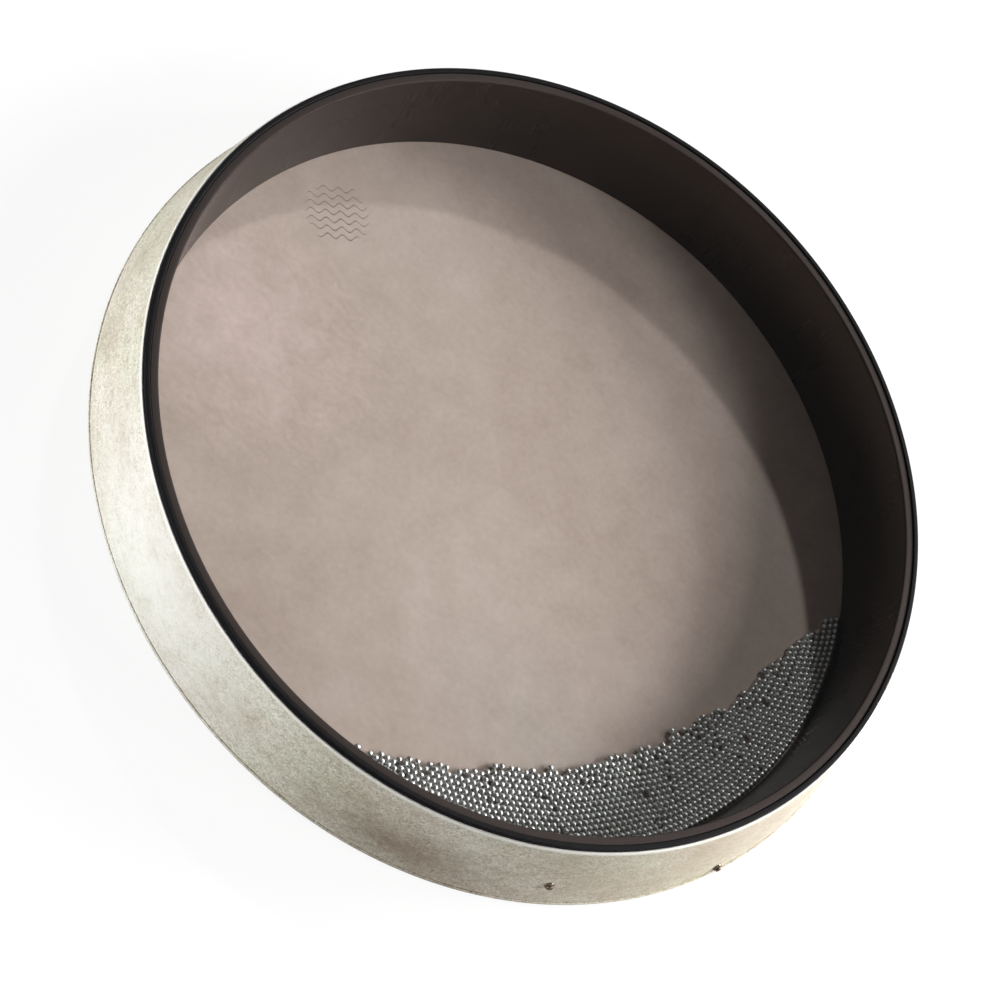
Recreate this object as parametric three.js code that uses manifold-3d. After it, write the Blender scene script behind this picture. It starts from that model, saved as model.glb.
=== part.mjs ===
// Ocean drum (wave drum): a shallow two-headed frame drum with loose steel beads shut in between
// an opaque skin head at the back and a clear film head at the front.
// Millimetres, +Z up. The drum lies on its back head, clear film up, with the origin at the middle
// of the back head's underside. Angles are measured about +Z from +X.

import * as THREE from 'three';
import { mergeVertices } from 'three/addons/utils/BufferGeometryUtils.js';
import Module from 'manifold-3d';

const wasm = await Module();
wasm.setup();

// ---- driving dimensions ----
const BACK_R = 279.4;            // outer radius at the back edge: a 22 in drum
const FRONT_R = 267.3;           // outer radius at the front edge
const DEPTH = 70;                // back head to front rim
const WALL_R = 249.5;            // inner face of the shell at the back; it leans outwards to the front
const MOUTH_R = 257.7;           // inner face of the shell at the front
const SHELL_R = 263;             // outer face of the shell
const GAP = 0.3;                 // between pieces that touch
const SKIN = 0.8;                // back head and its collar
const COVER = 1.6;               // side cover
const FILM = 0.3;                // clear head
const BEAD = 4.4;                // steel bead diameter
const SEGMENTS = 80;             // facets round the drum

const FILM_HOOP_HEIGHT = 11;
const FLANGE = 3;                // the film hoop's flange, which covers the edge of the side cover
const FLANGE_R = FRONT_R - 0.6;
const COLLAR_HEIGHT = 5;         // how far the skin head turns up the side
const COLLAR_BEND = 4;           // outer radius of that turn
const BEND_R = BACK_R - COLLAR_BEND;   // where the middle of that turn lies

const SHELL_BOTTOM = SKIN + GAP;
const FILM_TOP = DEPTH - 0.4;
const SHELL_TOP = FILM_TOP - FILM - GAP;
const HOOP_TOP = DEPTH - FILM_HOOP_HEIGHT - GAP;
const COVER_TOP = DEPTH - FLANGE - GAP;
const COVER_BOTTOM = COLLAR_HEIGHT + GAP;
const BEADS_BOTTOM = SKIN + GAP;

// The two screws that hold down the ends of the back hoop: angle and height.
const SCREWS = [{ angle: -45.1, height: 0.37 * DEPTH }, { angle: -18.1, height: 0.14 * DEPTH }];
const SCREW_LENGTH = 18;
const SHANK_R = 1.4;
const HEAD_R = 2.2;
const HEAD_HEIGHT = 1.3;
const WASHER_R = 3.3;
const WASHER_HEIGHT = 1.1;
const HOOP_JOINT = -31.6;        // where the back hoop's two ends meet, between the screws
const COVER_SEAM = 120;          // where the cover's two ends meet

// The bead bed lies in a crescent against the wall. Each part of it is bounded on its inner side
// by a curve that leaves the wall at one angle, reaches its depth and comes back to the wall.
const BED_CENTRE = -27.4;
const CREST = { spread: 56, depth: 68 };
const WAVE = { spread: 49.5, depth: 56 };
const BED = { spread: 39, depth: 36 };
const BED_CLEARANCE = 0.6;       // between the beads and the wall
const TIP = 3;                   // width at which a crescent's tip is cut off
const ARC_STEPS = 30;

const radians = THREE.MathUtils.degToRad;

// ---- materials ----
function material(name, color, roughness, metalness = 0, opacity = 1) {
  const transparent = opacity < 1;
  return new THREE.MeshStandardMaterial({ name, color, roughness, metalness, opacity, transparent });
}
const blackFibre = material('black_fibre', 0x2a2224, 0.6);
const blackTrim = material('black_trim', 0x141318, 0.45);
const creamSkin = material('cream_skin', 0xc9bfa0, 0.65);
const taupeSkin = material('taupe_skin', 0xbfab9f, 0.7);
const clearFilm = material('clear_film', 0xf4f6f8, 0.08, 0, 0.15);
const steelBeads = material('steel_beads', 0x8a8c90, 0.25, 1);
const darkSteel = material('dark_steel', 0x4a4440, 0.4, 1);

// ---- helpers ----

// A solid turned about Z from points [radius, height] that run anticlockwise.
function turned(points, segments = SEGMENTS) {
  const profile = points.map(([r, z]) => new THREE.Vector2(r, z));
  const onAxis = profile[0].x === 0 && profile[profile.length - 1].x === 0;
  if (!onAxis) profile.push(profile[0].clone());
  return new THREE.LatheGeometry(profile, segments).rotateX(Math.PI / 2);
}

// Points of an arc in a profile, from one angle to another, both ends included.
function arc(r, z, radius, from, to, steps) {
  return Array.from({ length: steps + 1 }, (_, i) => {
    const a = radians(from + ((to - from) * i) / steps);
    return [r + radius * Math.cos(a), z + radius * Math.sin(a)];
  });
}

function toSolid(geometry) {
  const bare = geometry.clone();
  bare.deleteAttribute('normal');
  bare.deleteAttribute('uv');
  const merged = mergeVertices(bare, 1e-4);
  const vertProperties = Float32Array.from(merged.attributes.position.array);
  const triVerts = Uint32Array.from(merged.index.array);
  return new wasm.Manifold(new wasm.Mesh({ numProp: 3, vertProperties, triVerts }));
}

function cut(geometry, ...tools) {
  const solid = tools.reduce((left, tool) => left.subtract(toSolid(tool)), toSolid(geometry));
  const { vertProperties, triVerts } = solid.getMesh();
  const result = new THREE.BufferGeometry();
  result.setAttribute('position', new THREE.BufferAttribute(Float32Array.from(vertProperties), 3));
  result.setIndex(new THREE.BufferAttribute(Uint32Array.from(triVerts), 1));
  result.computeVertexNormals();
  return result;
}

const drum = new THREE.Group();
function add(name, geometry, look) {
  const mesh = new THREE.Mesh(geometry, look);
  mesh.name = name;
  drum.add(mesh);
}

// The side's outer radius at a height: it widens evenly from the front edge to the back edge.
const sideR = (z) => FRONT_R + (BACK_R - FRONT_R) * (1 - z / DEPTH);
const SIDE_LEAN = Math.atan((BACK_R - FRONT_R) / DEPTH);

// A tool that saws a ring open at one angle.
function sawCut(angle, width) {
  const length = 60;
  const saw = new THREE.BoxGeometry(length, width, 3 * DEPTH);
  return saw.translate(WALL_R + length / 2, 0, 0).rotateZ(radians(angle));
}

// Places a shape that was turned about Z on a screw's axis. Height 0 is the cover's surface and
// +Z is out of the drum, square to the leaning side.
function onScrewAxis(geometry, { angle, height }) {
  return geometry
    .rotateY(Math.PI / 2 - SIDE_LEAN)
    .translate(sideR(height), 0, height)
    .rotateZ(radians(angle));
}

function screwHole(screw) {
  const radius = SHANK_R + GAP;
  const bottom = -SCREW_LENGTH - 1;
  return onScrewAxis(turned([[0, bottom], [radius, bottom], [radius, 5], [0, 5]], 12), screw);
}

// ---- shell, hoops and cover ----
const screwHoles = () => SCREWS.map(screwHole);

function shellHoop() {
  const ring = turned([
    [WALL_R, SHELL_BOTTOM],
    [SHELL_R, SHELL_BOTTOM],
    [SHELL_R, SHELL_TOP],
    [MOUTH_R, SHELL_TOP],
  ]);
  return cut(ring, ...screwHoles());
}

// A bent wedge-section hoop that fills the space between the shell and the leaning cover.
function backHoop() {
  const inner = SHELL_R + GAP;
  const inset = COVER + 2 * GAP;
  const bend = COLLAR_BEND - SKIN - GAP;
  const ring = turned([
    [inner, SHELL_BOTTOM],
    ...arc(BEND_R, COLLAR_BEND, bend, -90, 0, 3),
    [sideR(COVER_BOTTOM) - inset, COVER_BOTTOM],
    [sideR(HOOP_TOP) - inset, HOOP_TOP],
    [inner, HOOP_TOP],
  ]);
  return cut(ring, sawCut(HOOP_JOINT, 0.8), ...screwHoles());
}

function filmHoop() {
  const inner = SHELL_R + GAP;
  const outer = FRONT_R - COVER - GAP;
  const bottom = DEPTH - FILM_HOOP_HEIGHT;
  return turned([
    [inner, bottom],
    [outer, bottom],
    [outer, DEPTH - FLANGE],
    [FLANGE_R, DEPTH - FLANGE],
    [FLANGE_R, DEPTH],
    [inner, DEPTH],
  ]);
}

function sideCover() {
  const lip = COVER / 2;
  const rim = COVER_TOP - lip;
  const ring = turned([
    [sideR(COVER_BOTTOM) - COVER, COVER_BOTTOM],
    [sideR(COVER_BOTTOM), COVER_BOTTOM],
    ...arc(sideR(rim) - lip, rim, lip, 0, 180, 4),
  ]);
  return cut(ring, sawCut(COVER_SEAM, 0.4), ...screwHoles());
}

// ---- heads ----
const HEAD_EDGE = BEND_R - 0.6;

function disc(radius, bottom, top) {
  return turned([[0, bottom], [radius, bottom], [radius, top], [0, top]]);
}

// The turned-up edge of the skin head: it rolls round the back edge and stops below the cover.
function headCollar() {
  return turned([
    [HEAD_EDGE + GAP, 0],
    ...arc(BEND_R, COLLAR_BEND, COLLAR_BEND, -90, 0, 4),
    [BACK_R, COLLAR_HEIGHT],
    [BACK_R - SKIN, COLLAR_HEIGHT],
    ...arc(BEND_R, COLLAR_BEND, COLLAR_BEND - SKIN, 0, -90, 4),
    [HEAD_EDGE + GAP, SKIN],
  ]);
}

// ---- screws ----
function screw() {
  const seat = WASHER_HEIGHT + 2 * GAP;
  const dome = Array.from({ length: 4 }, (_, i) => {
    const a = (Math.PI / 2) * (i / 4);
    return [HEAD_R * Math.cos(a), seat + 0.3 + (HEAD_HEIGHT - 0.3) * Math.sin(a)];
  });
  const point = -SCREW_LENGTH;
  return turned([
    [0, point], [SHANK_R, point + 3], [SHANK_R, seat], [HEAD_R, seat], ...dome, [0, seat + HEAD_HEIGHT],
  ], 16);
}

function cupWasher() {
  const bore = SHANK_R + GAP;
  const top = GAP + WASHER_HEIGHT;
  return turned([[bore, GAP], [WASHER_R, GAP], [WASHER_R - 0.5, GAP + 0.7], [HEAD_R, top], [bore, top]], 16);
}

// ---- bead bed ----

// Depth of a crescent's inner curve below the wall, at an angle from the bed's centre.
function crescentDepth({ spread, depth }, offset) {
  return depth * Math.sqrt(Math.max(0, Math.cos((Math.PI / 2) * (offset / spread))));
}

// A slab over the region between a crescent's inner curve and an outer radius, one bead thick.
function crescentSlab(crescent, outerR, tip, below = 0) {
  const rim = WALL_R - BED_CLEARANCE;
  const width = (a) => crescentDepth(crescent, a);
  let reach = crescent.spread;
  while (width(reach) < tip) reach -= 0.05;
  const angles = Array.from({ length: ARC_STEPS + 1 }, (_, i) => (
    reach * Math.sin(Math.PI * (i / ARC_STEPS - 0.5))
  ));
  const at = (r, a) => new THREE.Vector2(r, 0).rotateAround(new THREE.Vector2(), radians(BED_CENTRE + a));
  const outline = [
    ...angles.map((a) => at(outerR, a)),
    ...angles.toReversed().map((a) => at(rim - width(a), a)),
  ];
  const shape = new THREE.Shape(outline);
  const slab = new THREE.ExtrudeGeometry(shape, { depth: BEAD + 2 * below, bevelEnabled: false });
  return slab.translate(0, 0, BEADS_BOTTOM - below);
}

// The part of the bead bed inside one crescent and outside the next one out, when there is one.
function beadSlab(crescent, next) {
  const slab = crescentSlab(crescent, WALL_R - BED_CLEARANCE, TIP);
  if (!next) return slab;
  const grown = { spread: next.spread + 0.2, depth: next.depth + 2 * GAP };
  return cut(slab, crescentSlab(grown, WALL_R + 5, 0.1, 1));
}

// ---- assembly ----
add('shell_hoop', shellHoop(), blackFibre);
add('back_hoop', backHoop(), blackFibre);
add('film_hoop', filmHoop(), blackTrim);
add('side_cover', sideCover(), creamSkin);
add('back_head', disc(HEAD_EDGE, 0, SKIN), taupeSkin);
add('back_head_collar', headCollar(), creamSkin);
add('front_film', disc(SHELL_R, FILM_TOP - FILM, FILM_TOP), clearFilm);

SCREWS.forEach((place, i) => {
  add(`screw_${i + 1}`, onScrewAxis(screw(), place), darkSteel);
  add(`screw_washer_${i + 1}`, onScrewAxis(cupWasher(), place), darkSteel);
});

add('bead_bed', beadSlab(BED), steelBeads);
add('bead_wave', beadSlab(WAVE, BED), steelBeads);
add('bead_crest', beadSlab(CREST, WAVE), steelBeads);

export default drum;
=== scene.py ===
"""Ocean drum: the looks. Metres, +Z up, in the same frame as the CAD: the drum lies on its back head,
clear film up. Angles are in degrees about +Z from +X."""

import math

import bpy
import numpy as np
from mathutils import Matrix, Vector


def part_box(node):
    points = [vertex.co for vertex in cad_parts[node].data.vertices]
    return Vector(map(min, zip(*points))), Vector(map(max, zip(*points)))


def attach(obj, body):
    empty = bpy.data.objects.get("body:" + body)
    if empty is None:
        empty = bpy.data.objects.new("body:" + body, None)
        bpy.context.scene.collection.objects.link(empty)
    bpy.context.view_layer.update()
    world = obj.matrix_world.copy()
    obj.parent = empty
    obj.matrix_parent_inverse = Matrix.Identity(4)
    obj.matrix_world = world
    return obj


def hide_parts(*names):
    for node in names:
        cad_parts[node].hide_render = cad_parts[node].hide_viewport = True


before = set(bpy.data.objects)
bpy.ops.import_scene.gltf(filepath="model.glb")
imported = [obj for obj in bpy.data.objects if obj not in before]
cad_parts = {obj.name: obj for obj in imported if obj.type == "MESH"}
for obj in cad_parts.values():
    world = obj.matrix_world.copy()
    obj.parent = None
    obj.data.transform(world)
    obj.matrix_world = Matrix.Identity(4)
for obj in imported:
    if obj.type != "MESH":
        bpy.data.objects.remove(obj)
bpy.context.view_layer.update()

# ---- sizes ----
MM = 0.001
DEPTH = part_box("film_hoop")[1].z
BACK_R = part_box("back_head_collar")[1].x
FILM_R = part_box("front_film")[1].x
FILM_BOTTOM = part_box("front_film")[0].z
FILM_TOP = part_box("front_film")[1].z
HEAD_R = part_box("back_head")[1].x
HEAD_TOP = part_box("back_head")[1].z
SHELL_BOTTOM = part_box("shell_hoop")[0].z
SHELL_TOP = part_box("shell_hoop")[1].z
SHELL_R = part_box("shell_hoop")[1].x
FLANGE_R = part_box("film_hoop")[1].x
FILM_HOOP_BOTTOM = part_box("film_hoop")[0].z
COLLAR_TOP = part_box("back_head_collar")[1].z
COVER_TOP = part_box("side_cover")[1].z
BEAD_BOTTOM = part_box("bead_bed")[0].z
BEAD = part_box("bead_bed")[1].z - BEAD_BOTTOM

GAP = 0.3 * MM                  # between neighbouring pieces
COVER = 1.6 * MM                # thickness of the side cover
SKIN = HEAD_TOP                 # thickness of the back head and its collar
FRONT_R = FLANGE_R + 0.6 * MM   # where the cover's outer line meets the front plane
FLANGE = 3 * MM                 # height of the film hoop's flange over the cover
WALL_R = 249.5 * MM             # the shell's inner face at the back
MOUTH_R = 257.7 * MM            # and at the front: it leans outwards
COLLAR_BEND = 4 * MM
COVER_SEAM = 120
ROUND = 288                     # steps round the drum

SCREWS = [("1", -45.1, 0.37 * DEPTH), ("2", -18.1, 0.14 * DEPTH)]      # label, angle, height
SCREW_LENGTH = 18 * MM
SCREW_POINT = 3 * MM
SHANK_R = 1.4 * MM
SCREW_HEAD_R = 2.2 * MM
SCREW_HEAD = 1.3 * MM
WASHER_R = 3.3 * MM
WASHER = 1.1 * MM

PRINT_CENTRE = Vector((-0.73, 0.0066)) * FRONT_R
PRINT_TURN = 47                 # the direction its lines run in
PRINT_R = 22 * MM
PRINT_ROWS = 3                  # lines each side of the middle one
PRINT_PITCH = 5.6 * MM
PRINT_WAVE = 10 * MM            # wavelength
PRINT_HEIGHT = 1.6 * MM         # amplitude
INK = 0.04 * MM

BED_CENTRE = -27.4              # the middle of the CAD model's three crescents of beads
CREST = (56, 68 * MM)           # each crescent's half angle, and its depth in from the wall
WAVE = (49.5, 56 * MM)
BED = (39, 36 * MM)
BED_CLEARANCE = 0.6 * MM
BEAD_JITTER = 0.25              # the beads' scatter before they settle, as a share of a bead
BEADS_MISSING = 0.05            # share of the beads left out
SETTLE_TURNS = 360
PULL_TURNS = 240                # how many of those turns pull the beads towards the wall
PAIR_TURNS = 12                 # turns from one search for neighbours to the next

CAMERA_TILT = 35.46             # between the line of sight and the drum's axis
CAMERA_ROLL = 46.79
CAMERA_DISTANCE = 8 * BACK_R
CAMERA_SHIFT = (0.005 * BACK_R, 0.0292 * BACK_R)
LENS = 125.8

# azimuth, elevation, distance, width, height, power
PANELS = {
    "window": (50, 21, 4.0, 1.6, 1.2, 260),
    "upper": (20, 34, 4.0, 1.6, 1.0, 80),
    "side": (-20, 20, 4.0, 1.2, 1.0, 28),
}
STRIP_HEIGHT = 0.06             # lower than the drum's rim

scene = bpy.context.scene
scene.view_settings.view_transform = "Standard"


# ---- camera ----
def place_camera():
    """The photograph's view: 55 degrees up from the drum's -Y side, rolled so that -Y points down left."""
    tilt = math.radians(CAMERA_TILT)
    roll = math.radians(CAMERA_ROLL)
    back = Vector((0, -math.sin(tilt), math.cos(tilt)))
    level_up = Vector((0, math.cos(tilt), math.sin(tilt)))
    level_right = Vector((1, 0, 0))
    right = math.cos(roll) * level_right + math.sin(roll) * level_up
    up = -math.sin(roll) * level_right + math.cos(roll) * level_up
    data = bpy.data.cameras.new("camera")
    data.sensor_width = 36
    data.lens = LENS
    data.clip_start, data.clip_end = 0.05, 50
    camera = bpy.data.objects.new("camera", data)
    turn = Matrix((right, up, back)).transposed()
    place = back * CAMERA_DISTANCE - right * CAMERA_SHIFT[0] - up * CAMERA_SHIFT[1]
    camera.matrix_world = Matrix.Translation(place) @ turn.to_4x4()
    scene.collection.objects.link(camera)
    scene.camera = camera


# ---- mesh helpers ----
def new_piece(name, vertices, faces, look, sharp=35):
    """A mesh object from arrays, shaded smooth with sharp edges kept."""
    mesh = bpy.data.meshes.new(name)
    mesh.from_pydata([tuple(v) for v in vertices], [], faces)
    mesh.validate()
    mesh.polygons.foreach_set("use_smooth", [True] * len(mesh.polygons))
    mesh.set_sharp_from_angle(angle=math.radians(sharp))
    mesh.materials.append(look)
    piece = bpy.data.objects.new(name, mesh)
    scene.collection.objects.link(piece)
    return piece


def rounded(points, radius, steps=4):
    """A closed profile with each corner rounded. A point is (r, z), or (r, z, its own radius)."""
    out = []
    for i, point in enumerate(points):
        here = Vector(point[:2])
        before = Vector(points[i - 1][:2]) - here
        after = Vector(points[(i + 1) % len(points)][:2]) - here
        size = point[2] if len(point) > 2 else radius
        reach = min(size, 0.45 * before.length, 0.45 * after.length)
        a = here + before.normalized() * reach
        b = here + after.normalized() * reach
        for k in range(steps + 1):
            t = k / steps
            out.append(tuple((1 - t) ** 2 * a + 2 * t * (1 - t) * here + t * t * b))
    return out


def full_turn(steps):
    """The angles of one turn in even steps."""
    return [2 * math.pi * i / steps for i in range(steps)]


def revolve(profile, angles, closed=True, change=None):
    """Vertices and quads of a profile turned once about Z. A closed profile's last point joins its
    first. change(r, z, angle) may move each radius."""
    vertices = []
    for a in angles:
        c, s = math.cos(a), math.sin(a)
        for r, z in profile:
            if change:
                r = change(r, z, a)
            vertices.append((r * c, r * s, z))
    n, faces = len(profile), []
    for i in range(len(angles)):
        j = (i + 1) % len(angles)
        for k in range(n if closed else n - 1):
            m = (k + 1) % n
            faces.append((i * n + k, j * n + k, j * n + m, i * n + m))
    return vertices, faces


def turned(name, profile, look, steps=ROUND):
    """A ring turned from a closed anticlockwise profile."""
    vertices, faces = revolve(profile, full_turn(steps))
    return new_piece(name, vertices, faces, look)


def turned_solid(name, outline, look, steps, sharp=35):
    """A solid turned from an open anticlockwise outline whose two ends lie on the axis."""
    inner = outline[1:-1]
    vertices, faces = revolve(inner, full_turn(steps), closed=False)
    n = len(inner)
    bottom, top = len(vertices), len(vertices) + 1
    vertices += [(0, 0, outline[0][1]), (0, 0, outline[-1][1])]
    for i in range(steps):
        j = (i + 1) % steps
        faces.append((bottom, j * n, i * n))
        faces.append((top, i * n + n - 1, j * n + n - 1))
    return new_piece(name, vertices, faces, look, sharp)


def disc(name, radius, bottom, top, look, edge):
    """A thin round sheet with a rounded edge, meshed in rings so that its middle is fine too."""
    rings = 24
    radii = [radius * k / rings for k in range(1, rings)]
    under = [(r, bottom) for r in radii]
    over = [(r, top) for r in reversed(radii)]
    rim = [(radius - edge, bottom), (radius, bottom + edge), (radius, top - edge), (radius - edge, top)]
    return turned_solid(name, [(0, bottom), *under, *rim, *over, (0, top)], look, ROUND, sharp=30)


def side_r(z):
    """The cover's outer radius at a height: it widens evenly from front to back."""
    return FRONT_R + (BACK_R - FRONT_R) * (1 - z / DEPTH)


SIDE_LEAN = math.atan2(BACK_R - FRONT_R, DEPTH)


# ---- materials ----
def linear(*rgb):
    """A colour given as sRGB 0 to 255, as Blender's linear colour."""
    parts = [c / 255 for c in rgb]
    return tuple(p / 12.92 if p <= 0.04045 else ((p + 0.055) / 1.055) ** 2.4 for p in parts) + (1.0,)


def along_side(angle):
    """Where an angle falls along the side, in metres from half a turn before the cover's seam."""
    return math.radians((angle + 180 - COVER_SEAM + 180) % 360 - 180) * BACK_R


class Look:
    """A node material around one Principled shader."""

    def __init__(self, name, colour=(1, 1, 1, 1), roughness=0.5, metallic=0.0, specular=0.5):
        self.material = bpy.data.materials.new(name)
        self.material.use_nodes = True
        self.tree = self.material.node_tree
        self.shader = self.tree.nodes["Principled BSDF"]
        self.shader.inputs["Base Color"].default_value = colour
        self.shader.inputs["Roughness"].default_value = roughness
        self.shader.inputs["Metallic"].default_value = metallic
        self.shader.inputs["Specular IOR Level"].default_value = specular
        self.where = self.tree.nodes.new("ShaderNodeTexCoord").outputs["Object"]

    def node(self, kind, **inputs):
        made = self.tree.nodes.new("ShaderNode" + kind)
        for key, value in inputs.items():
            made.inputs[key.replace("_", " ")].default_value = value
        return made

    def link(self, output, socket):
        self.tree.links.new(output, socket)

    def feed(self, value, socket):
        """Gives a socket its value: another node's output, or a number or colour."""
        if isinstance(value, bpy.types.NodeSocket):
            self.link(value, socket)
        else:
            socket.default_value = value

    def height(self, where):
        """Metres up the drum's side, from round_the_drum's output."""
        axes = self.node("SeparateXYZ")
        self.link(where, axes.inputs[0])
        return axes.outputs["Y"]

    def scaled(self, where, scale):
        mapping = self.node("Mapping", Scale=scale)
        self.link(where, mapping.inputs["Vector"])
        return mapping.outputs["Vector"]

    def round_the_drum(self, seam):
        """Metres along the drum's side, from half a turn before an angle, and metres up it."""
        axes = self.node("SeparateXYZ")
        turn = self.node("VectorRotate")
        turn.rotation_type = "Z_AXIS"
        turn.inputs["Angle"].default_value = math.radians(180 - seam)
        self.link(self.where, turn.inputs["Vector"])
        self.link(turn.outputs["Vector"], axes.inputs[0])
        angle = self.math("ARCTAN2", axes.outputs["Y"], axes.outputs["X"])
        flat = self.node("CombineXYZ")
        self.link(self.math("MULTIPLY", angle, BACK_R), flat.inputs["X"])
        self.link(axes.outputs["Z"], flat.inputs["Y"])
        return flat.outputs["Vector"]

    def stain_and_painted_light(self, where, middle, size, strength):
        """How strongly a patch shows: a soft ragged oval about its middle. It serves for stains and for
        painted light, shade and reflection. Middle and size in metres.
        """
        shift = self.node("Mapping", Location=(-middle[0], -middle[1], 0))
        self.link(where, shift.inputs["Vector"])
        oval = self.node("VectorMath")
        oval.operation = "LENGTH"
        self.link(self.scaled(shift.outputs["Vector"], (1 / size[0], 1 / size[1], 0)), oval.inputs[0])
        ragged = self.stretched(where, (60, 110), 5, 0.7, 1.0)
        spread = self.math("MULTIPLY_ADD", ragged, 1.5, oval.outputs["Value"])
        return self.range(spread, 0.85, 1.9, strength, 0.0)

    def noise(self, scale, detail=4.0, roughness=0.55, where=None, distortion=0.0):
        made = self.node("TexNoise", Scale=scale, Detail=detail, Roughness=roughness, Distortion=distortion)
        self.link(where or self.where, made.inputs["Vector"])
        return made.outputs["Fac"]

    def stretched(self, where, cells, detail, roughness, distortion=0.0):
        """Noise with its own number of cells to the metre along each of where's two axes."""
        return self.noise(1, detail, roughness, self.scaled(where, (*cells, 1)), distortion)

    def ramp(self, value, *stops):
        made = self.node("ValToRGB")
        elements = made.color_ramp.elements
        while len(elements) < len(stops):
            elements.new(0.5)
        for element, (at, colour) in zip(elements, stops):
            element.position = at
            element.color = colour
        self.link(value, made.inputs["Fac"])
        return made.outputs["Color"]

    def mix(self, factor, a, b, blend="MIX"):
        """Mixes colours a and b, each a socket or a colour; factor is a socket or a number."""
        made = self.node("Mix")
        made.data_type = "RGBA"
        made.blend_type = blend
        self.feed(factor, made.inputs[0])
        self.feed(a, made.inputs[6])
        self.feed(b, made.inputs[7])
        return made.outputs[2]

    def math(self, operation, *values):
        made = self.node("Math")
        made.operation = operation
        for value, socket in zip(values, made.inputs):
            self.feed(value, socket)
        return made.outputs[0]

    def range(self, value, low, high, to_low, to_high):
        made = self.node("MapRange", From_Min=low, From_Max=high, To_Min=to_low, To_Max=to_high)
        self.link(value, made.inputs["Value"])
        return made.outputs["Result"]

    def bump(self, height, strength, distance):
        made = self.node("Bump", Strength=strength, Distance=distance)
        self.link(height, made.inputs["Height"])
        self.link(made.outputs["Normal"], self.shader.inputs["Normal"])

    def blend_surfaces(self, factor, first, second):
        """Makes the material's surface a mix of two shader nodes."""
        blend = self.node("MixShader")
        self.link(factor, blend.inputs[0])
        self.link(first.outputs[0], blend.inputs[1])
        self.link(second.outputs[0], blend.inputs[2])
        self.link(blend.outputs[0], self.tree.nodes["Material Output"].inputs["Surface"])

    def colour_from(self, output):
        self.link(output, self.shader.inputs["Base Color"])

    def roughness_from(self, output):
        self.link(output, self.shader.inputs["Roughness"])


def black_fibre():
    """Lacquered wood fibre: nearly black with a brown cast, streaked up and down, with patches of wear.
    The narrow land at the front is browner and duller."""
    look = Look("black_fibre", linear(14, 11, 12), 0.3, specular=0.6)
    look.shader.inputs["Specular Tint"].default_value = linear(255, 232, 222)
    where = look.round_the_drum(COVER_SEAM)
    streaks = look.stretched(where, (260, 22), 5, 0.65)
    scuffs = look.stretched(where, (700, 90), 4, 0.6)
    patches = look.noise(11, 3, 0.5)
    tone = look.ramp(streaks, (0.3, linear(9, 7, 8)), (0.7, linear(20, 15, 16)))
    tone = look.mix(look.range(patches, 0.4, 0.7, 0, 0.3), tone, linear(30, 21, 21))
    land = look.range(look.height(where), SHELL_TOP - 2 * MM, SHELL_TOP - 0.5 * MM, 0, 1)
    look.colour_from(look.mix(land, tone, linear(37, 28, 26)))
    # roughness from streaks and patches of wear only; no highlight is painted on the shell
    wear_and_highlight = look.math("MULTIPLY_ADD", streaks, 0.1, look.range(patches, 0.3, 0.7, 0.18, 0.3))
    look.roughness_from(look.math("MULTIPLY_ADD", land, 0.45, wear_and_highlight))
    look.bump(scuffs, 0.05, 0.0002)
    return look.material


def black_trim():
    """Matt black binding."""
    look = Look("black_trim", linear(16, 15, 17), 0.6, specular=0.1)
    grain = look.noise(260, 4, 0.6)
    look.colour_from(look.ramp(grain, (0.3, linear(12, 11, 12)), (0.75, linear(24, 22, 25))))
    look.roughness_from(look.range(grain, 0.3, 0.7, 0.52, 0.7))
    look.bump(look.noise(1500, 2), 0.15, 0.0001)
    return look.material


def cream_skin():
    """The cover and collar: off-white fibre laminate with pink and green casts, matted like felt, marked
    by short fibres and dark specks. It has a brownish smudge low on the -Y side, painted shade in a
    tan patch to the right of that, painted light in a pale patch to its left, and a painted highlight
    along its front edge."""
    look = Look("cream_skin", linear(226, 222, 210), 0.55, specular=0.3)
    where = look.round_the_drum(COVER_SEAM)
    clouds = look.stretched(where, (16, 30), 5, 0.6)
    casts = look.stretched(where, (9, 14), 3, 0.5)
    matted = look.stretched(where, (340, 430), 5, 0.7, 2.0)
    fibres = look.stretched(where, (110, 620), 4, 0.7, 0.6)
    specks = look.stretched(where, (420, 420), 2, 0.5)
    tone = look.ramp(clouds, (0.28, linear(212, 205, 189)), (0.5, linear(233, 229, 218)),
                     (0.72, linear(246, 245, 238)))
    cast = look.ramp(casts, (0.35, linear(255, 238, 236)), (0.65, linear(240, 252, 232)))
    tone = look.mix(0.35, tone, cast, "MULTIPLY")
    felt = look.ramp(matted, (0.38, linear(156, 145, 122)), (0.57, linear(255, 255, 253)))
    skin = look.mix(0.7, tone, felt, "MULTIPLY")
    skin = look.mix(look.range(fibres, 0.5, 0.8, 0, 0.45), skin, linear(182, 168, 148))
    skin = look.mix(look.range(specks, 0.68, 0.76, 0, 0.5), skin, linear(140, 118, 92))
    # painted light: a pale near-white patch on the cover's side around -113 degrees
    pale = look.stain_and_painted_light(where, (along_side(-113), 0.5 * DEPTH), (0.13, 0.06), 0.8)
    skin = look.mix(pale, skin, linear(246, 246, 240))
    # painted shade: a darker tan patch on the cover's side around -22 degrees
    tan = look.stain_and_painted_light(where, (along_side(-22), 0.5 * DEPTH), (0.14, 0.06), 0.5)
    skin = look.mix(tan, skin, linear(184, 166, 138))
    smudge = look.stain_and_painted_light(where, (along_side(-66), 0.33 * DEPTH), (0.075, 0.025), 0.7)
    skin = look.mix(smudge, skin, linear(132, 112, 90))
    # painted highlight: the top few millimetres of the cover are painted near white, where its rounded
    # front lip catches the light
    wear_and_highlight = look.range(look.height(where), COVER_TOP - 3 * MM, COVER_TOP - 1 * MM, 0, 0.8)
    look.colour_from(look.mix(wear_and_highlight, skin, linear(255, 254, 248)))
    look.roughness_from(look.range(clouds, 0.3, 0.7, 0.48, 0.65))
    look.bump(matted, 0.35, 0.0003)
    return look.material


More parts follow.
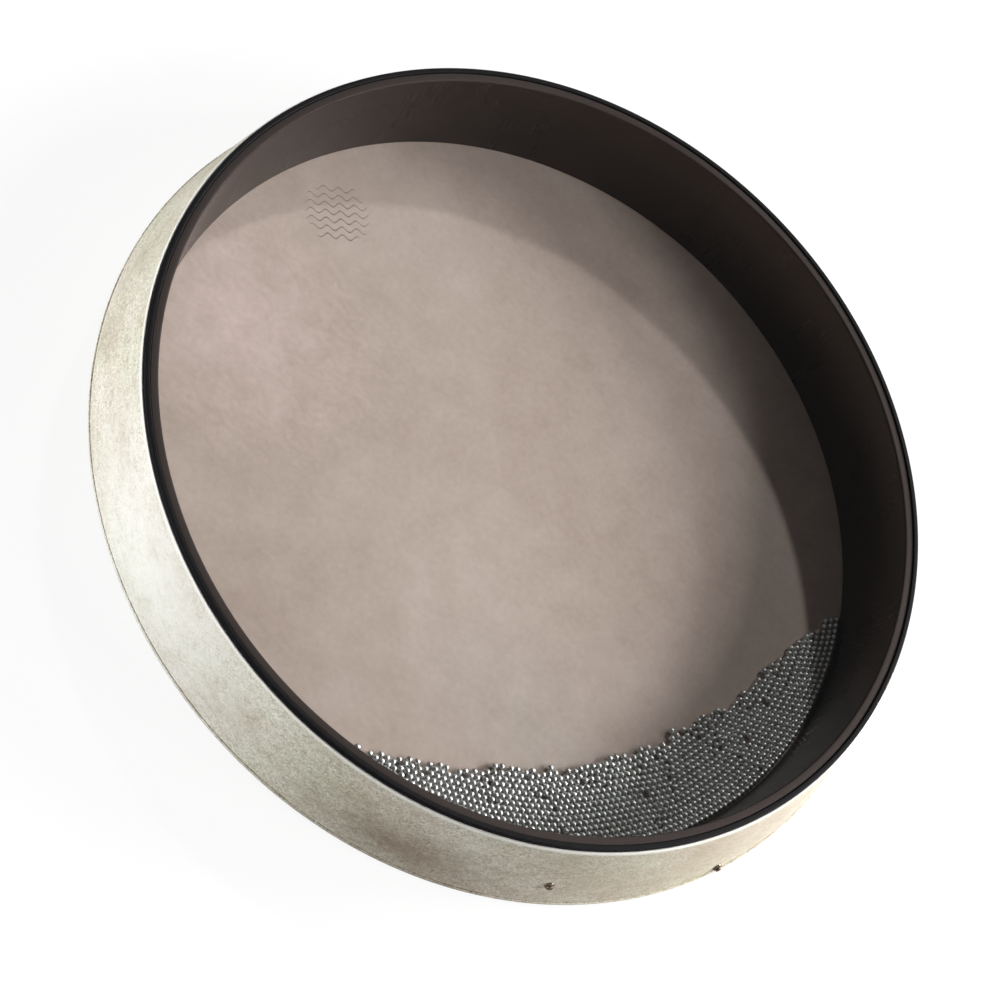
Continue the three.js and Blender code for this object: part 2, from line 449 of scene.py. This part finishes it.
def head_skin():
    """The back head: taupe laminate with wide soft clouds, faint mottling and a fine grain; painted light
    in a pale pinkish patch towards -X, and a painted reflection in a greyer patch towards the beads."""
    look = Look("head_skin", linear(205, 188, 178), 0.62, specular=0.25)
    clouds = look.noise(5, 3, 0.5)
    mottle = look.noise(38, 5, 0.65)
    grain = look.noise(230, 4, 0.65)
    tone = look.ramp(clouds, (0.3, linear(200, 181, 170)), (0.7, linear(216, 199, 190)))
    # painted light: a pale pinkish patch on the head towards -X
    pale = look.stain_and_painted_light(look.where, (-0.19, -0.06), (0.09, 0.08), 0.8)
    tone = look.mix(pale, tone, linear(238, 217, 210))
    # painted reflection: a greyer, paler patch on the head towards the beads, standing in for the film's
    # sheen
    grey = look.stain_and_painted_light(look.where, (0.114, -0.112), (0.08, 0.05), 0.4)
    tone = look.mix(grey, tone, linear(208, 200, 192))
    mottling = look.ramp(mottle, (0.25, linear(228, 224, 219)), (0.75, linear(255, 255, 254)))
    tone = look.mix(0.75, tone, mottling, "MULTIPLY")
    graining = look.ramp(grain, (0.25, linear(226, 221, 216)), (0.75, linear(255, 255, 255)))
    tone = look.mix(0.5, tone, graining, "MULTIPLY")
    look.colour_from(tone)
    look.roughness_from(look.range(mottle, 0.3, 0.7, 0.54, 0.7))
    look.bump(look.noise(650, 4, 0.65), 0.2, 0.0002)
    return look.material


def clear_film():
    """Clear polyester: light and shadow pass through, and a thin sheen lies on top, strongest at a
    low angle."""
    look = Look("clear_film")
    clear = look.node("BsdfTransparent", Color=(0.985, 0.99, 0.99, 1))
    sheen = look.node("BsdfGlossy", Color=(1, 1, 1, 1), Roughness=0.03)
    slant = look.node("LayerWeight", Blend=0.5).outputs["Facing"]
    head_on = 0.03              # share reflected when seen head on
    reflected = look.math("MULTIPLY_ADD", look.math("POWER", slant, 5.0), 1 - head_on, head_on)
    look.blend_surfaces(reflected, clear, sheen)
    look.tree.nodes.remove(look.shader)
    return look.material


def steel_beads():
    """Bright steel shot: each bead's tone and polish differ a little."""
    look = Look("steel_beads", linear(228, 228, 226), 0.28, metallic=0.96)
    tones = look.noise(240, 2, 0.5)
    look.colour_from(look.ramp(tones, (0.3, linear(206, 206, 204)), (0.7, linear(240, 240, 238))))
    look.roughness_from(look.range(tones, 0.3, 0.7, 0.27, 0.4))
    return look.material


def dark_steel():
    """Bronzed screw heads and washers, brighter with wear in places."""
    look = Look("dark_steel", linear(96, 82, 72), 0.35, metallic=1.0)
    wear = look.noise(900, 4, 0.6)
    look.colour_from(look.ramp(wear, (0.35, linear(84, 71, 62)), (0.7, linear(176, 158, 138))))
    look.roughness_from(look.range(wear, 0.3, 0.7, 0.28, 0.5))
    return look.material


def print_ink():
    """Faint grey ink on the film."""
    look = Look("print_ink", linear(136, 122, 115), 0.6, specular=0.2)
    rub = look.noise(500, 3, 0.6)
    look.colour_from(look.ramp(rub, (0.35, linear(122, 108, 102)), (0.7, linear(154, 138, 130))))
    return look.material


LOOKS = {make.__name__: make() for make in (
    black_fibre, black_trim, cream_skin, head_skin, clear_film, steel_beads, dark_steel, print_ink)}


def finish_piece(piece, body, slot, *nodes):
    """Rides a piece on its body and hides the CAD nodes it stands for; its slot is not used."""
    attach(piece, body)
    if nodes:
        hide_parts(*nodes)


# ---- shell, hoops and heads ----
def make_shell():
    """The shell, with its inner edge at the front softened most."""
    profile = rounded([
        (WALL_R, SHELL_BOTTOM), (SHELL_R, SHELL_BOTTOM),
        (SHELL_R, SHELL_TOP), (MOUTH_R, SHELL_TOP, 1.2 * MM),
    ], 0.5 * MM)
    piece = turned("shell", profile, LOOKS["black_fibre"])
    finish_piece(piece, "drum", "black_fibre", "shell_hoop")


def make_film_hoop():
    """The black binding ring: a band between shell and cover, and a flange over the cover's edge."""
    inner = SHELL_R + GAP
    outer = FRONT_R - COVER - GAP
    profile = rounded([
        (inner, FILM_HOOP_BOTTOM), (outer, FILM_HOOP_BOTTOM), (outer, DEPTH - FLANGE, 0.1 * MM),
        (FLANGE_R, DEPTH - FLANGE), (FLANGE_R, DEPTH, 0.9 * MM), (inner, DEPTH, 0.7 * MM),
    ], 0.3 * MM)
    piece = turned("film_binding", profile, LOOKS["black_trim"])
    finish_piece(piece, "drum", "black_trim", "film_hoop")


def make_cover():
    """The side cover. Its outer face swells a little at the seam, where the cover's end stands up."""
    lip = COVER / 2
    rows = 10
    bottom = COLLAR_TOP + 0.05 * MM
    heights = [bottom + (COVER_TOP - lip - bottom) * k / rows for k in range(rows + 1)]
    rim = side_r(heights[-1]) - lip
    over = [(rim + lip * math.cos(a), heights[-1] + lip * math.sin(a))
            for a in (math.pi * k / 8 for k in range(1, 8))]
    outer = [(side_r(z), z) for z in heights]
    inner = [(side_r(z) - COVER, z) for z in reversed(heights)]
    profile = outer + over + inner
    seam = math.radians(COVER_SEAM)

    def swell(r, z, a):
        on_inner_face = r < side_r(z) - 0.9 * COVER
        if on_inner_face:
            return r
        past = (a - seam) % (2 * math.pi)
        lap = 0.35 * MM * math.exp(-past * BACK_R / (14 * MM))
        ripple = 0.10 * MM * math.sin(5 * a + 40 * z) * math.sin(3 * a + 1.3)
        return r + lap + ripple

    steps = ROUND * 2
    crack = 1e-5                # the seam's half width, radians
    angles = [seam + crack + (2 * math.pi - 2 * crack) * i / steps for i in range(steps + 1)]
    vertices, faces = revolve(profile, angles, change=swell)
    piece = new_piece("side_wrap", vertices, faces, LOOKS["cream_skin"])
    finish_piece(piece, "drum", "cream_skin", "side_cover")


def make_collar():
    """The skin head's turned-up edge: a rolled corner and a short lip under the cover's edge."""
    centre = BACK_R - COLLAR_BEND
    start = HEAD_R + GAP
    thin = COLLAR_BEND - SKIN
    steps = 10
    outer = [(centre + COLLAR_BEND * math.cos(a), COLLAR_BEND + COLLAR_BEND * math.sin(a))
             for a in (math.pi / 2 * (k / steps - 1) for k in range(steps + 1))]
    inner = [(centre + thin * math.cos(a), COLLAR_BEND + thin * math.sin(a))
             for a in (-math.pi / 2 * k / steps for k in range(steps + 1))]
    top = COLLAR_TOP
    soft = 0.2 * MM
    profile = [(start, 0), *outer, (BACK_R, top - soft), (BACK_R - soft, top), (BACK_R - SKIN, top),
               *inner, (start, SKIN)]
    piece = turned("head_edge", profile, LOOKS["cream_skin"])
    finish_piece(piece, "drum", "cream_skin", "back_head_collar")


def make_heads():
    """The skin head at the back and the clear film at the front."""
    back = disc("skin_head", HEAD_R, 0, HEAD_TOP, LOOKS["head_skin"], 0.2 * MM)
    finish_piece(back, "drum", "head_skin", "back_head")
    film = disc("film_head", FILM_R, FILM_BOTTOM, FILM_TOP, LOOKS["clear_film"], 0.08 * MM)
    finish_piece(film, "drum", "clear_film", "front_film")


def make_print():
    """A generic mark: wavy lines that fill a small disc, printed on the film near its edge. Each line
    is a thin ribbon of ink, widest in its middle."""
    turn = math.radians(PRINT_TURN)
    along = Vector((math.cos(turn), math.sin(turn)))
    across = Vector((-along.y, along.x))
    bottom = FILM_TOP + 0.02 * MM
    steps = 60
    vertices, faces = [], []
    for row in range(-PRINT_ROWS, PRINT_ROWS + 1):
        base = len(vertices)
        half = math.sqrt(PRINT_R ** 2 - (row * PRINT_PITCH) ** 2)
        for i in range(steps + 1):
            t = half * (2 * i / steps - 1)
            width = 0.2 * MM + 0.4 * MM * math.sqrt(max(0.0, 1 - (t / half) ** 2))
            middle = row * PRINT_PITCH + PRINT_HEIGHT * math.sin(2 * math.pi * t / PRINT_WAVE)
            for side in (-1, 1):
                flat = PRINT_CENTRE + along * t + across * (middle + side * width)
                vertices += [(flat.x, flat.y, bottom), (flat.x, flat.y, bottom + INK)]
        for i in range(steps):
            a, b = base + 4 * i, base + 4 * i + 4
            faces += [(a + 1, b + 1, b + 3, a + 3), (a + 2, b + 2, b, a), (a, b, b + 1, a + 1),
                      (a + 3, b + 3, b + 2, a + 2)]
        last = base + 4 * steps
        faces += [(base, base + 1, base + 3, base + 2), (last + 2, last + 3, last + 1, last)]
    piece = new_piece("film_print", vertices, faces, LOOKS["print_ink"])
    piece.visible_shadow = False
    finish_piece(piece, "drum", "black_trim")


# ---- screws ----
def on_screw_axis(piece, angle, height):
    """Stands a piece turned about Z square to the leaning cover, at an angle and a height."""
    turn = Matrix.Rotation(math.radians(angle), 4, "Z")
    place = Matrix.Translation((side_r(height), 0, height))
    lean = Matrix.Rotation(math.pi / 2 - SIDE_LEAN, 4, "Y")
    piece.data.transform(turn @ place @ lean)


def make_screws():
    """Two round-head screws on cup washers, each first turned about Z with the cover's face at z = 0."""
    seat = WASHER + 2 * GAP
    edge = 0.3 * MM             # height of the head below its dome
    dome = [(SCREW_HEAD_R * math.cos(t), seat + edge + (SCREW_HEAD - edge) * math.sin(t))
            for t in (math.pi / 2 * k / 10 for k in range(10))]
    outline = [(0, -SCREW_LENGTH), (SHANK_R, -SCREW_LENGTH + SCREW_POINT), (SHANK_R, seat),
               (SCREW_HEAD_R - 0.2 * MM, seat), *dome, (0, seat + SCREW_HEAD)]
    bore, top = SHANK_R + GAP, GAP + WASHER
    profile = rounded([(bore, GAP), (WASHER_R, GAP), (WASHER_R - 0.4 * MM, GAP + 0.75 * MM),
                       (SCREW_HEAD_R, top), (bore, top)], 0.15 * MM, 3)
    for label, angle, height in SCREWS:
        piece = turned_solid(f"round_screw_{label}", outline, LOOKS["dark_steel"], 40)
        on_screw_axis(piece, angle, height)
        finish_piece(piece, "drum", "dark_steel", f"screw_{label}")
        washer = turned(f"cup_washer_{label}", profile, LOOKS["dark_steel"], 48)
        on_screw_axis(washer, angle, height)
        finish_piece(washer, "drum", "dark_steel", f"screw_washer_{label}")


# ---- beads ----
def crescent_depth(crescent, offset):
    """How far in from the wall a crescent reaches, at angles from its middle."""
    spread, depth = crescent
    inside = np.abs(offset) < spread
    return np.where(inside, depth * np.sqrt(np.maximum(0, np.cos(np.pi / 2 * offset / spread))), 0)


def close_pairs(points, reach):
    """Index pairs of points nearer than reach."""
    order = np.argsort(points[:, 0], kind="stable")
    ahead = points[order]
    firsts, seconds = [], []
    for step in range(1, len(points)):
        gap = ahead[step:, 0] - ahead[:-step, 0]
        if gap.min() > reach:
            break
        near = np.hypot(gap, ahead[step:, 1] - ahead[:-step, 1]) < reach
        firsts.append(order[:-step][near])
        seconds.append(order[step:][near])
    return np.concatenate(firsts), np.concatenate(seconds)


def pack_beads():
    """Places the beads as they lie: one layer, pressed against the wall, none overlapping.
    Rows start parallel to the wall and then push apart until they settle."""
    random = np.random.default_rng(7)
    rim = WALL_R - BED_CLEARANCE - BEAD / 2
    row_step = BEAD * math.sqrt(3) / 2
    spread, depth = CREST
    deepest = 1.15 * depth
    points = []
    for row in range(int(deepest / row_step)):
        r = rim - row * row_step
        count = int(math.radians(spread) * r / BEAD)
        for j in range(-count, count + 1):
            a = math.degrees((j + 0.5 * (row % 2)) * BEAD / r)
            ragged = (1 + 0.035 * math.sin(0.31 * a + 1) + 0.03 * math.sin(0.83 * a)
                      + 0.02 * math.sin(2.1 * a))
            room = crescent_depth(CREST, np.array(a)) * ragged + random.normal(0, BEAD_JITTER) * BEAD
            if row * row_step < room - BEAD:
                t = math.radians(BED_CENTRE + a)
                points.append((r * math.cos(t), r * math.sin(t)))
    points = np.array(points)[random.random(len(points)) > BEADS_MISSING]
    points += random.normal(0, BEAD_JITTER * BEAD, points.shape)
    for turn in range(SETTLE_TURNS):
        if turn % PAIR_TURNS == 0:
            first, second = close_pairs(points, 1.5 * BEAD)
        pull = 0.012 if turn < PULL_TURNS else 0.0
        points += points / np.linalg.norm(points, axis=1, keepdims=True) * pull * BEAD
        for _ in range(2):
            apart = points[second] - points[first]
            distance = np.maximum(np.linalg.norm(apart, axis=1), 1e-6)
            push = 0.5 * np.maximum(0, BEAD * 1.001 - distance) / distance
            move = apart * push[:, None] * 0.6
            np.add.at(points, second, move)
            np.add.at(points, first, -move)
        radius = np.linalg.norm(points, axis=1, keepdims=True)
        points *= np.minimum(1, rim / radius)
    return points


def ball(segments=14, rings=9):
    """A unit sphere's vertices and faces, quads with triangles at the poles."""
    vertices = [(0, 0, -1)]
    for i in range(1, rings):
        t = math.pi * i / rings - math.pi / 2
        for j in range(segments):
            a = 2 * math.pi * j / segments
            vertices.append((math.cos(t) * math.cos(a), math.cos(t) * math.sin(a), math.sin(t)))
    vertices.append((0, 0, 1))
    top = len(vertices) - 1
    faces = []
    for j in range(segments):
        k = (j + 1) % segments
        faces.append((0, 1 + k, 1 + j))
        for i in range(rings - 2):
            a, b = 1 + i * segments, 1 + (i + 1) * segments
            faces.append((a + j, a + k, b + k, b + j))
        faces.append((top, 1 + (rings - 2) * segments + j, 1 + (rings - 2) * segments + k))
    return np.array(vertices), faces


def make_beads():
    """Each bead as a ball of its own, in three pieces: the bed, the wave and the crest."""
    points = pack_beads()
    radius = np.linalg.norm(points, axis=1)
    offset = np.degrees(np.arctan2(points[:, 1], points[:, 0])) - BED_CENTRE
    below_wall = WALL_R - BED_CLEARANCE - radius
    in_bed = below_wall < crescent_depth(BED, offset)
    in_wave = ~in_bed & (below_wall < crescent_depth(WAVE, offset))
    unit, unit_faces = ball()
    groups = (("bed_beads", "bead_bed", in_bed), ("wave_beads", "bead_wave", in_wave),
              ("crest_beads", "bead_crest", ~in_bed & ~in_wave))
    for name, node, chosen in groups:
        centres = np.column_stack([points[chosen], np.full(chosen.sum(), BEAD_BOTTOM + BEAD / 2)])
        vertices = (centres[:, None, :] + unit[None] * BEAD / 2).reshape(-1, 3)
        faces = [tuple(v + k * len(unit) for v in f) for k in range(len(centres)) for f in unit_faces]
        piece = new_piece(name, vertices, faces, LOOKS["steel_beads"], sharp=180)
        finish_piece(piece, node, "steel_beads", node)


# ---- stage and light ----
def make_floor():
    """A plain floor: white to the camera, grey to the light that bounces off it."""
    size = 12
    z = -0.1 * MM
    corners = [(-size, -size, z), (size, -size, z), (size, size, z), (-size, size, z)]
    mesh = bpy.data.meshes.new("floor")
    mesh.from_pydata(corners, [], [(0, 1, 2, 3)])
    floor = bpy.data.objects.new("floor", mesh)
    scene.collection.objects.link(floor)
    look = Look("floor", (0.12, 0.12, 0.12, 1), 0.9, specular=0.0)
    look.shader.inputs["Emission Color"].default_value = (1, 1, 1, 1)
    look.shader.inputs["Emission Strength"].default_value = 0.9
    bounce = look.node("BsdfDiffuse", Color=(0.4, 0.4, 0.4, 1))
    seen = look.node("LightPath").outputs["Is Camera Ray"]
    look.blend_surfaces(seen, bounce, look.shader)
    mesh.materials.append(look.material)


def panel(name, place, to_light, width, height, power):
    """A soft rectangular light at a place. It shines away from to_light."""
    data = bpy.data.lights.new(name, "AREA")
    data.shape = "RECTANGLE"
    data.size, data.size_y = width, height
    data.energy = power
    light = bpy.data.objects.new(name, data)
    turn = to_light.to_track_quat("Z", "Y").to_matrix().to_4x4()
    light.matrix_world = Matrix.Translation(place) @ turn
    light.visible_camera = False
    scene.collection.objects.link(light)


def high_panel(name, azimuth, elevation, distance, width, height, power):
    """A panel that faces the drum's middle."""
    a, e = math.radians(azimuth), math.radians(elevation)
    to_light = Vector((math.cos(e) * math.cos(a), math.cos(e) * math.sin(a), math.sin(e)))
    middle = Vector((0, 0, DEPTH / 2))
    panel(name, middle + to_light * distance, to_light, width, height, power)


def low_strip(name, azimuth, distance, width, power):
    """A strip that stands just off the floor, lower than the drum's rim: it reaches the side only."""
    a = math.radians(azimuth)
    to_light = Vector((math.cos(a), math.sin(a), 0))
    middle = Vector((0, 0, STRIP_HEIGHT / 2 + 2 * MM))
    panel(name, to_light * distance + middle, to_light, width, STRIP_HEIGHT, power)


def make_lights():
    """A soft sun from the +Y side, three panels towards +X, and a low strip that lights the cover from
    the -X -Y side."""
    sun = bpy.data.lights.new("key", "SUN")
    sun.energy = 0.75
    sun.angle = math.radians(3)
    key = bpy.data.objects.new("key", sun)
    to_key = Vector((-0.143, 0.732, 0.666))
    key.rotation_euler = to_key.to_track_quat("Z", "Y").to_euler()
    scene.collection.objects.link(key)
    for name, numbers in PANELS.items():
        high_panel(name, *numbers)
    low_strip("left_strip", azimuth=-138, distance=1.6, width=1.6, power=24)


def make_world():
    """A background that is nearly white to the camera and gives only a little light."""
    world = bpy.data.worlds.new("world")
    scene.world = world
    world.use_nodes = True
    nodes, links = world.node_tree.nodes, world.node_tree.links
    dim = nodes["Background"]
    dim.inputs["Color"].default_value = (1, 1, 1, 1)
    dim.inputs["Strength"].default_value = 0.07
    pale = nodes.new("ShaderNodeBackground")
    pale.inputs["Color"].default_value = (1, 1, 1, 1)
    pale.inputs["Strength"].default_value = 0.95
    seen = nodes.new("ShaderNodeLightPath")
    blend = nodes.new("ShaderNodeMixShader")
    links.new(seen.outputs["Is Camera Ray"], blend.inputs[0])
    links.new(dim.outputs[0], blend.inputs[1])
    links.new(pale.outputs[0], blend.inputs[2])
    links.new(blend.outputs[0], nodes["World Output"].inputs["Surface"])


def finish_cad_nodes():
    """The hidden back hoop keeps its CAD shape and gets the shell's material."""
    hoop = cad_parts["back_hoop"]
    hoop.data.materials.clear()
    hoop.data.materials.append(LOOKS["black_fibre"])


place_camera()
make_shell()
make_film_hoop()
make_cover()
make_collar()
make_heads()
make_print()
make_screws()
make_beads()
finish_cad_nodes()
make_floor()
make_lights()
make_world()
